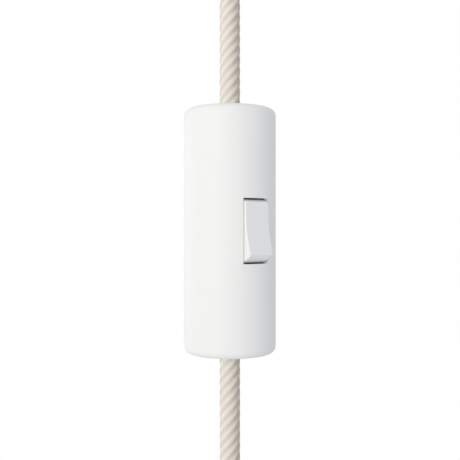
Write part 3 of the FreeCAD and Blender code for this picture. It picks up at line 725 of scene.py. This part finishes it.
drawn.links.new(compute(drawn, "MULTIPLY_ADD", centred, entry["Roughness Change"],
                        entry["Roughness"]), result["Roughness"])
drawn.links.new(streak, result["Height"])
print(drawn.name, "nodes", len(drawn.nodes))

# %% [markdown]
# ## Cotton yarn
# The cover of each strand is woven from fine yarn. Its threads run across the strand at both
# slants. Because the strands climb at 45 degrees, those slants end up along the lead and round
# it. So the weave is the product of two waves, one by angle and one by height. The number of
# waves round the lead is whole, which leaves no seam. The mesh already has these waves, and the
# same helpers give them to the shader, where a finer noise adds loose fibres.

# %% The height of woven cotton
fibre_scale = 4200.0
cotton_weave, entry, result = new_group("cotton_weave", "ShaderNodeTree", [
    ("Color", "NodeSocketColor", (0.8, 0.76, 0.68, 1)),
    # The colour that the painted shade of pores, grooves and low fibres goes towards
    ("Shade Color", "NodeSocketColor", (0.5, 0.45, 0.38, 1)),
    ("Strands", "NodeSocketFloat", 6.0),
    ("Pitch", "NodeSocketFloat", 0.0224),
    ("Yarns Round", "NodeSocketFloat", 30.0),
    ("Yarn Height", "NodeSocketFloat", 0.00075),
    ("Fray", "NodeSocketFloat", 0.35),
    # How much darker and paler the two flanks of a strand are painted, as shade and light
    ("Painted Flank Shade", "NodeSocketFloat", 0.055),
], [("Color", "NodeSocketColor"), ("Height", "NodeSocketFloat")])
place = add_node(cotton_weave, "ShaderNodeTexCoord").outputs["Object"]
fibre = add_node(cotton_weave, "ShaderNodeTexNoise", {
    "Vector": place, "Scale": fibre_scale, "Detail": 3.0, "Roughness": 0.65}).outputs[0]
weave = yarn_weave(cotton_weave, place, entry["Yarns Round"], entry["Yarn Height"])
loose = compute(cotton_weave, "MULTIPLY", fibre, entry["Fray"])
cotton_weave.links.new(compute(cotton_weave, "ADD", weave, loose), result["Height"])
print(cotton_weave.name, "has its height from", len(cotton_weave.nodes), "nodes")

# %% [markdown]
# ## Painted shade in the cotton
# Part of the light that falls between the yarns is lost there, so the pores of the weave and the
# grooves beside the strands are painted a little darker, and so are the fibres where they lie lower.
# The three shares of painted shade are added up. Their sum says how far the colour goes from the
# yarn's to a groove's.

# %% The painted shade of woven cotton
fibre_middle = 0.62
fibre_shade = 0.5
pore_shade = 0.30
valley_shade = 0.06


def choose(tree, mask, first, second):
    """A mix of two colours by a mask. Each colour is a value or a socket."""
    ends = [end if isinstance(end, bpy.types.NodeSocket) else (*end, 1) for end in (first, second)]
    mix = add_node(tree, "ShaderNodeMix", {"Factor": mask, 6: ends[0], 7: ends[1]}, data_type="RGBA")
    return mix.outputs[2]


phase = strand_phase(cotton_weave, place, entry["Strands"], entry["Pitch"])
# Painted shade: the grooves, the pores and the lower fibres are darkened towards the shade colour
valley = compute(cotton_weave, "MULTIPLY", groove_share(cotton_weave, phase), valley_shade)
pore = compute(cotton_weave, "SUBTRACT", 1.0, weave)
pore = compute(cotton_weave, "MULTIPLY", pore, pore_shade)
low_fibre_shade = compute(cotton_weave, "SUBTRACT", fibre_middle, fibre)
low_fibre_shade = compute(cotton_weave, "MULTIPLY", low_fibre_shade, fibre_shade)
shade = compute(cotton_weave, "ADD", valley, compute(cotton_weave, "ADD", pore, low_fibre_shade))
shade = add_node(cotton_weave, "ShaderNodeClamp", {"Value": shade}).outputs[0]
shaded = choose(cotton_weave, shade, entry["Color"], entry["Shade Color"])
print("shade of a pore", pore_shade, "and of a groove", valley_shade)

# %% [markdown]
# ## Tints of the strands, and painted shade on their flanks
# The strands of natural cotton differ a little in colour. White noise gives each a faint tint of
# its own, and a slow noise lets it drift along the lead. One flank of each strand is also painted a
# little darker and the other a little paler, as painted shade and light from the lamps on the left.
# An image could hold all this, but formulas have no seam.

# %% The tint and painted flank shade of woven cotton
tint_scale = 130.0
tint_spread = 2.0
painted_flank_place = 0.78
pink_tint = (1.0, 0.982, 0.985)
green_tint = (0.985, 0.99, 0.975)
strand = compute(cotton_weave, "FLOOR", phase)
strand = compute(cotton_weave, "FLOORED_MODULO", strand, entry["Strands"])
chance = add_node(cotton_weave, "ShaderNodeTexWhiteNoise", {"W": strand},
                  noise_dimensions="1D").outputs["Value"]
drift = add_node(cotton_weave, "ShaderNodeTexNoise", {
    "Vector": place, "Scale": tint_scale, "Detail": 1.0}).outputs[0]
drift = compute(cotton_weave, "SUBTRACT", drift, 0.5)
hue = compute(cotton_weave, "MULTIPLY_ADD", drift, tint_spread, chance)
hue = add_node(cotton_weave, "ShaderNodeClamp", {"Value": hue}).outputs[0]
tint = choose(cotton_weave, hue, pink_tint, green_tint)
dyed = add_node(cotton_weave, "ShaderNodeVectorMath", {0: shaded, 1: tint},
                operation="MULTIPLY").outputs[0]
# Painted shade and light: one flank of each strand darker and the other paler, as lamps on the left
# give
painted_flank_shade = compute(cotton_weave, "SUBTRACT", phase, painted_flank_place)
painted_flank_shade = compute(cotton_weave, "COSINE", compute(cotton_weave, "MULTIPLY", painted_flank_shade, math.tau))
painted_flank_shade = compute(cotton_weave, "MULTIPLY", painted_flank_shade, entry["Painted Flank Shade"])
tone = compute(cotton_weave, "SUBTRACT", 1.0, painted_flank_shade)
cotton_weave.links.new(scaled(cotton_weave, dyed, tone), result["Color"])
print(cotton_weave.name, "nodes", len(cotton_weave.nodes))

# %% [markdown]
# ## Materials
# A material is one Principled BSDF, one shader group for its colour, roughness and height, and a
# Bump node that turns the height into a normal. Bump distances are in metres: a moulded grain is
# a few thousandths of a millimetre deep.

# %% Helper for materials
def finish(material, group, values, bump, constants):
    """Gives a material a Principled BSDF that a shader group and a Bump node feed."""
    if isinstance(material, str):
        material = bpy.data.materials.new(material)
    material.use_nodes = True
    tree = material.node_tree
    tree.nodes.clear()
    source = add_node(tree, "ShaderNodeGroup", node_tree=group)
    for label, value in values.items():
        source.inputs[label].default_value = value
    shader = add_node(tree, "ShaderNodeBsdfPrincipled", constants)
    tree.links.new(source.outputs["Color"], shader.inputs["Base Color"])
    if "Roughness" in source.outputs:
        tree.links.new(source.outputs["Roughness"], shader.inputs["Roughness"])
    dents = add_node(tree, "ShaderNodeBump",
                     {"Height": source.outputs["Height"], "Distance": bump, "Strength": 1.0})
    tree.links.new(dents.outputs[0], shader.inputs["Normal"])
    add_node(tree, "ShaderNodeOutputMaterial", {"Surface": shader.outputs[0]})
    print("material", material.name)
    return material


print("material helper:", finish.__name__)

# %% [markdown]
# ## White plastics
# The sleeve and caps have a smooth satin skin with no gloss. The rocker is the same white with a
# slightly finer skin. Inner parts are a plainer, coarser moulding in a greyer white. The wires
# inside have a shinier insulation in the colours of a mains lead.

# %% Make the plastics
brown = (0.12, 0.045, 0.018)
blue = (0.02, 0.10, 0.38)


def plastic(name, color, grain, roughness, bump, tone=0.02):
    """A moulded or coated plastic."""
    return finish(name, moulded, {
        "Color": (*color, 1), "Grain Size": grain, "Tone Change": tone,
        "Roughness": roughness, "Roughness Change": 0.1}, bump,
        {"IOR": 1.46, "Specular IOR Level": 0.3})


def insulation(name, color):
    """The smooth coloured plastic round a core."""
    return plastic(name, color, 0.3 * MM, 0.4, 0.006 * MM, 0.15)


materials = {
    "housing_white": plastic("housing_white", (0.875, 0.873, 0.868), 0.25 * MM, 0.55, 0.004 * MM),
    "rocker_white": plastic("rocker_white", (0.875, 0.874, 0.872), 0.2 * MM, 0.5, 0.003 * MM),
    "inner_plastic": plastic("inner_plastic", (0.74, 0.74, 0.71), 0.4 * MM, 0.6, 0.012 * MM, 0.05),
    "grip_white": plastic(grip_white, (0.86, 0.86, 0.845), 0.3 * MM, 0.45, 0.006 * MM),
    "grip_screw_white": plastic("nylon_white", (0.80, 0.80, 0.77), 0.2 * MM, 0.4, 0.004 * MM),
    "core_brown": insulation("core_brown", brown),
    "core_blue": insulation("core_blue", blue),
}

# %% [markdown]
# ## Metals
# The screws are zinc plated, the strips and blocks are brass, and the small domed contacts are a
# silver alloy. Only their colour, roughness and the direction of their streaks differ.

# %% Make the metals
along_z = (1.0, 1.0, 0.06)
no_stretch = (1.0, 1.0, 1.0)


def metal(name, color, roughness, stretch, bump, tone=0.15):
    """A drawn, rolled or plated metal."""
    return finish(name, drawn, {
        "Color": (*color, 1), "Stretch": stretch, "Tone Change": tone,
        "Roughness": roughness}, bump, {"Metallic": 1.0})


materials.update({
    "brass": metal("brass", (0.72, 0.50, 0.20), 0.28, along_z, 0.004 * MM),
    "zinc_steel": metal("zinc_steel", (0.62, 0.63, 0.64), 0.32, no_stretch, 0.003 * MM),
    "spring_steel": metal(spring_steel, (0.42, 0.42, 0.42), 0.25, along_z, 0.002 * MM),
    "silver_contact": metal("silver_contact", (0.80, 0.79, 0.76), 0.3, no_stretch, 0.003 * MM),
})

# %% [markdown]
# ## The cotton cover
# Cotton has next to no gloss, so the roughness is high and the specular level low. The yarn is a
# pale cream. The painted shade in its pores and grooves is browner as well as darker, because light
# that bounces between fibres takes on more of their colour each time.

# %% Make the cotton
# The second colour is the painted shade of the pores and grooves.
materials["textile_cream"] = finish(cotton, cotton_weave, {
    "Color": (0.665, 0.620, 0.560, 1), "Shade Color": (0.369, 0.297, 0.207, 1),
    "Strands": float(strand_count), "Pitch": strand_pitch,
    "Yarns Round": float(yarns_round), "Yarn Height": yarn_height}, 0.05 * MM,
    {"Roughness": 0.95, "Specular IOR Level": 0.1})

# %% [markdown]
# ## The earth core
# The earth core is green with yellow, while every other core has one colour. Two materials on one
# piece would need its faces sorted. Here one material takes its colour from position instead: the
# half of the core on one side of its own axis is yellow, and the other half is green.

# %% Make the striped earth core
green = (0.06, 0.26, 0.04)
yellow = (0.72, 0.56, 0.03)


def object_parts(tree):
    """The X, Y and Z of a point in Object coordinates."""
    place = add_node(tree, "ShaderNodeTexCoord").outputs["Object"]
    return add_node(tree, "ShaderNodeSeparateXYZ", {0: place}).outputs


def recolor(material, color):
    """Feeds the shader group of a material from a colour socket."""
    tree = material.node_tree
    source = next(node for node in tree.nodes if node.type == "GROUP")
    tree.links.new(color, source.inputs["Color"])


earth = insulation("core_green_yellow", green)
earth_low, earth_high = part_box("earth_core")
beside_axis = compute(earth.node_tree, "SUBTRACT", object_parts(earth.node_tree)["X"],
                      (earth_low.x + earth_high.x) / 2)
is_yellow = compute(earth.node_tree, "GREATER_THAN", beside_axis, 0.0)
recolor(earth, choose(earth.node_tree, is_yellow, green, yellow))
materials["core_green_yellow"] = earth

# %% [markdown]
# ## The core tails
# Each set of tails is one node with three cores in it: brown in front, blue on one side and
# green and yellow on the other, each with a tinned ferrule. Position tells them apart, so one
# material serves. Seen along the lead, the brown core lies in front of two lines that slope
# forward by 30 degrees from the axis, and the other two share the room behind them. Each mask
# below is 1 where its answer is yes and 0 elsewhere.

# %% Find the cores by their place
ferrule_length = 5.0 * MM
core_radius = 1.15 * MM
sector_slope = math.tan(math.radians(30))
tails = insulation("core_tails", brown)
tree = tails.node_tree
parts = object_parts(tree)
ferrules_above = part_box("upper_core_tails")[1].z - ferrule_length
ferrules_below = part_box("lower_core_tails")[0].z + ferrule_length
is_ferrule = compute(tree, "MAXIMUM", compute(tree, "GREATER_THAN", parts["Z"], ferrules_above),
                     compute(tree, "LESS_THAN", parts["Z"], ferrules_below))
sector_edge = compute(tree, "MULTIPLY", compute(tree, "ABSOLUTE", parts["X"]), sector_slope)
is_side = compute(tree, "GREATER_THAN", compute(tree, "ADD", parts["Y"], sector_edge), 0.0)
is_blue = compute(tree, "GREATER_THAN", parts["X"], 0.0)
stripe_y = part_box("upper_core_tails")[1].y - core_radius
is_stripe = compute(tree, "GREATER_THAN", parts["Y"], stripe_y)
print("ferrules above", round(ferrules_above, 4), "and below", round(ferrules_below, 4))

# %% [markdown]
# ## Colouring the core tails
# The masks now choose between two colours at a time: green or yellow, then that or blue, then
# that or brown, and last the tinned ferrule over them all. The ferrule's mask also drives
# Metallic, because the ferrule is metal and the insulation isn't.

# %% Colour the core tails
tinned = (0.66, 0.66, 0.65)
side = choose(tree, is_blue, choose(tree, is_stripe, green, yellow), blue)
core = choose(tree, is_side, brown, side)
recolor(tails, choose(tree, is_ferrule, core, tinned))
shader = next(node for node in tree.nodes if node.type == "BSDF_PRINCIPLED")
tree.links.new(is_ferrule, shader.inputs["Metallic"])
materials["core_tails"] = tails
print(tails.name, "nodes", len(tree.nodes))

# %% [markdown]
# ## Dressing the solids
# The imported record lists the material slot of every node, so a loop can hand each solid its
# finish. Nodes that a new piece replaces are hidden, and dressing them does no harm.

# %% Dress the solids
for part in frame["record"]["subparts"]:
    solid = solids[part["node"]]
    solid.data.materials.clear()
    solid.data.materials.append(materials[part["material_slot"]])
